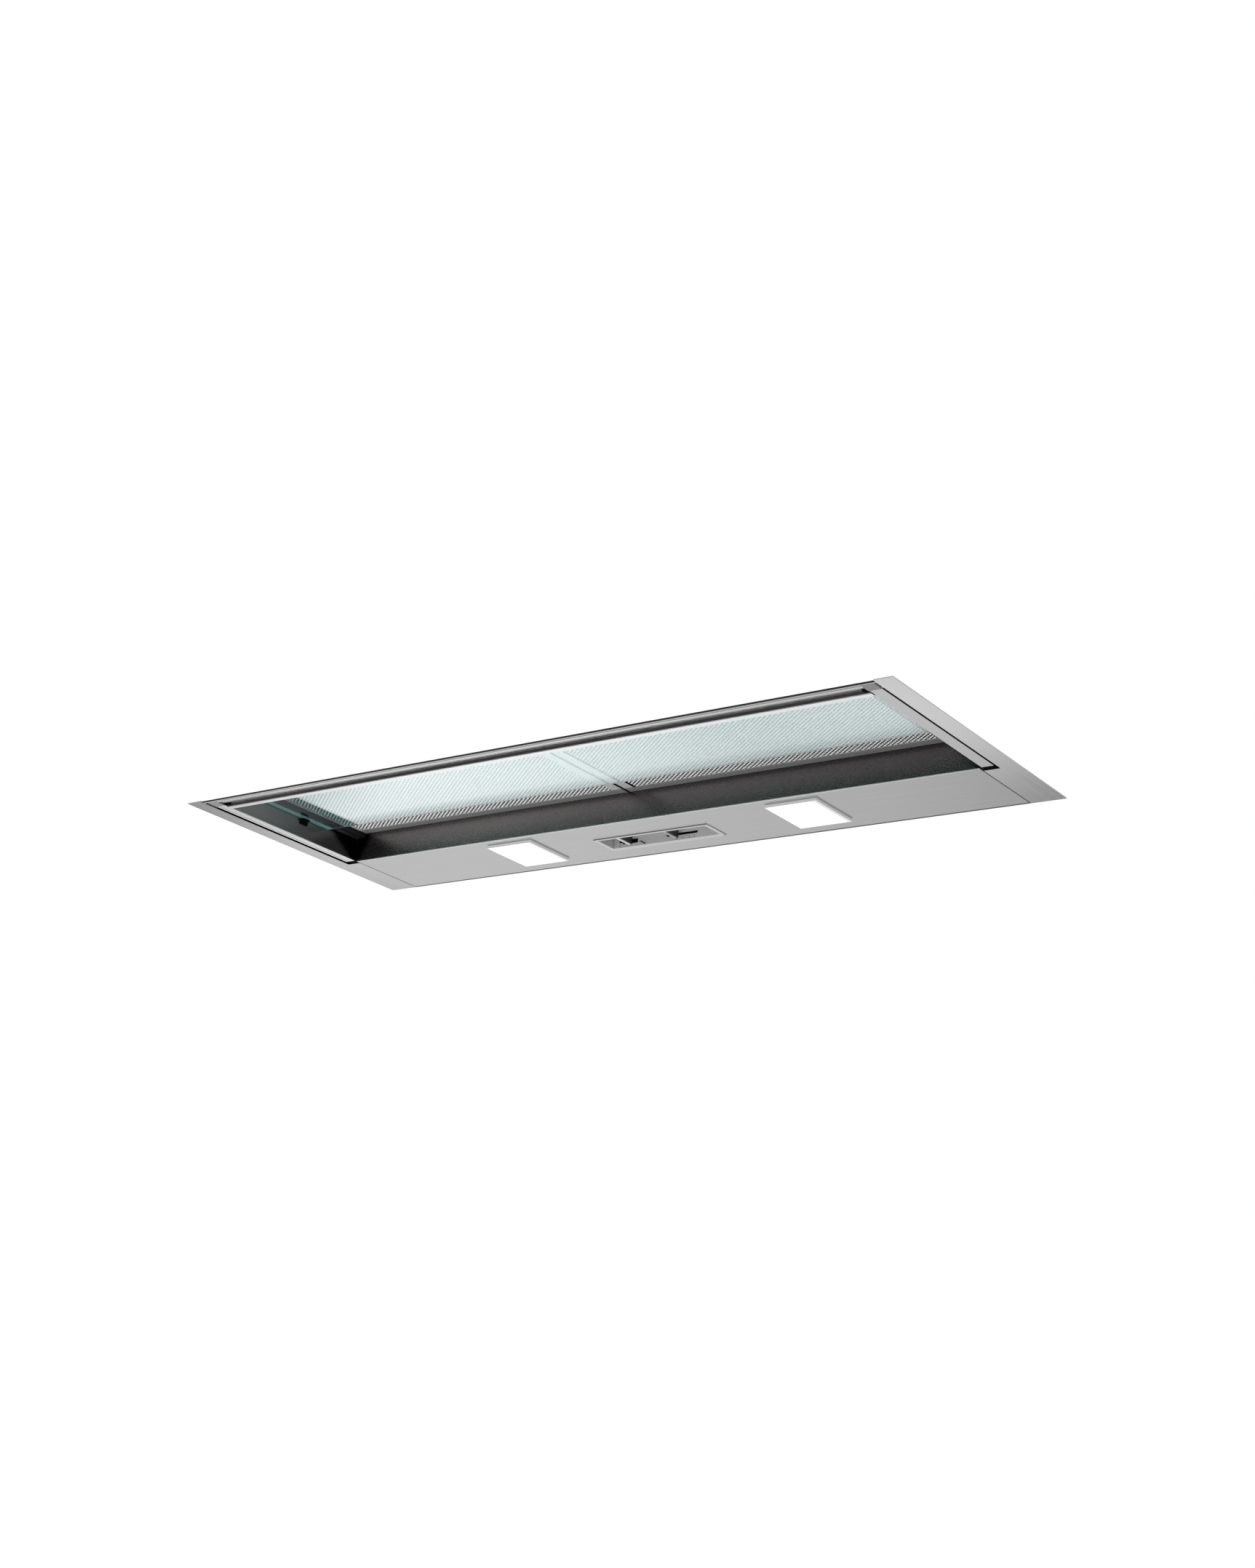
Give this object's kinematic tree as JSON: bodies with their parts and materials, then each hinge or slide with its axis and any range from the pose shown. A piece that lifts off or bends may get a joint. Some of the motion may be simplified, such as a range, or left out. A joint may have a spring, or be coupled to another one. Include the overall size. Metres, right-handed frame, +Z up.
{
  "type": "slide-out range hood",
  "caption": "Flat built-in range hood with a pull-out glass visor, mesh grease filters, a control strip with slide switches and square lamps, and a raked housing with a blower and duct collar.",
  "frame": {"origin": "middle of the footprint with the duct collar, in the plane of the lamp lenses, the lowest faces of the hood", "axes": "+X to the right seen from the front, +Y from the pull bar towards the wall, +Z up"},
  "size_m": [0.898, 0.368, 0.143],
  "materials": {
    "trim_steel": "brushed",
    "dark_sheet": "satin",
    "coated_sheet": "satin",
    "filter_alloy": "satin",
    "runner_steel": "bright",
    "grey_plastic": "fine",
    "black_plastic": "fine",
    "black_rubber": "matte",
    "visor_glass": "clear",
    "lamp_diffuser": "opal",
    "motor_paint": "satin"
  },
  "bodies": {
    "housing": {"side_trim_left": "trim_steel", "side_trim_right": "trim_steel", "side_baffle_left": "dark_sheet", "side_baffle_right": "dark_sheet", "filter_frame_left": "filter_alloy", "filter_frame_right": "filter_alloy", "filter_net_left": "filter_alloy", "filter_net_right": "filter_alloy", "runner_fixed_left": "runner_steel", "runner_fixed_right": "runner_steel", "visor_stop_left": "black_rubber", "visor_stop_right": "black_rubber", "lamp_lens_left": "lamp_diffuser", "lamp_lens_right": "lamp_diffuser", "lamp_box_left": "grey_plastic", "lamp_box_right": "grey_plastic", "control_panel": "trim_steel", "recess_wall": "dark_sheet", "canopy_shell": "coated_sheet", "rear_panel": "coated_sheet", "filter_ledge": "dark_sheet", "control_bezel": "grey_plastic", "light_switch": "black_plastic", "fan_switch": "black_plastic", "scroll_casing": "coated_sheet", "inlet_ring": "coated_sheet", "motor": "motor_paint", "outlet_box": "coated_sheet", "duct_collar": "grey_plastic", "damper_pin": "runner_steel", "terminal_box": "grey_plastic", "terminal_lid": "grey_plastic", "cable_gland": "black_plastic", "capacitor": "motor_paint", "capacitor_strap": "runner_steel"},
    "visor": {"visor_side_left": "trim_steel", "visor_side_right": "trim_steel", "front_cap_left": "grey_plastic", "front_cap_right": "grey_plastic", "glass_clip_left": "black_plastic", "glass_clip_right": "black_plastic", "runner_moving_left": "runner_steel", "runner_moving_right": "runner_steel", "visor_front_bar": "filter_alloy", "front_seal": "black_plastic", "visor_glass": "visor_glass"},
    "cage_left": {"ball_cage_left": "runner_steel"},
    "cage_right": {"ball_cage_right": "runner_steel"},
    "light_knob": {"light_slider": "grey_plastic"},
    "fan_knob": {"fan_slider": "grey_plastic"},
    "rotor": {"fan_wheel": "black_plastic", "fan_shaft": "runner_steel"},
    "flap_left": {"damper_flap_left": "black_plastic"},
    "flap_right": {"damper_flap_right": "black_plastic"}
  },
  "joints": [
    {"name": "visor_slide", "type": "slide", "parent": "housing", "child": "visor", "axis": [0, -1, 0], "range_m": [0, 0.15]},
    {"name": "cage_left_roll", "type": "slide", "parent": "housing", "child": "cage_left", "axis": [0, -1, 0], "range_m": [0, 0.075]},
    {"name": "cage_right_roll", "type": "slide", "parent": "housing", "child": "cage_right", "axis": [0, -1, 0], "range_m": [0, 0.075]},
    {"name": "light_slide", "type": "slide", "parent": "housing", "child": "light_knob", "axis": [-1, 0, 0], "range_m": [0, 0.0145]},
    {"name": "fan_slide", "type": "slide", "parent": "housing", "child": "fan_knob", "axis": [1, 0, 0], "range_m": [0, 0.0231]},
    {"name": "fan_spin", "type": "hinge", "parent": "housing", "child": "rotor", "pos_m": [0, 0.094, 0.081], "axis": [1, 0, 0], "continuous": true},
    {"name": "flap_right_swing", "type": "hinge", "parent": "housing", "child": "flap_right", "pos_m": [0, 0.163, 0.077], "axis": [0, 0, 1], "range_deg": [0, 75], "stiffness_Nm_per_rad": 0.01},
    {"name": "flap_left_swing", "type": "hinge", "parent": "housing", "child": "flap_left", "pos_m": [0, 0.163, 0.077], "axis": [0, 0, -1], "range_deg": [0, 75], "stiffness_Nm_per_rad": 0.01}
  ],
  "couplings": [
    {"joint": "cage_left_roll", "follows": "visor_slide", "ratio": 0.5},
    {"joint": "cage_right_roll", "follows": "visor_slide", "ratio": 0.5},
    {"joint": "flap_left_swing", "follows": "flap_right_swing", "ratio": 1}
  ]
}
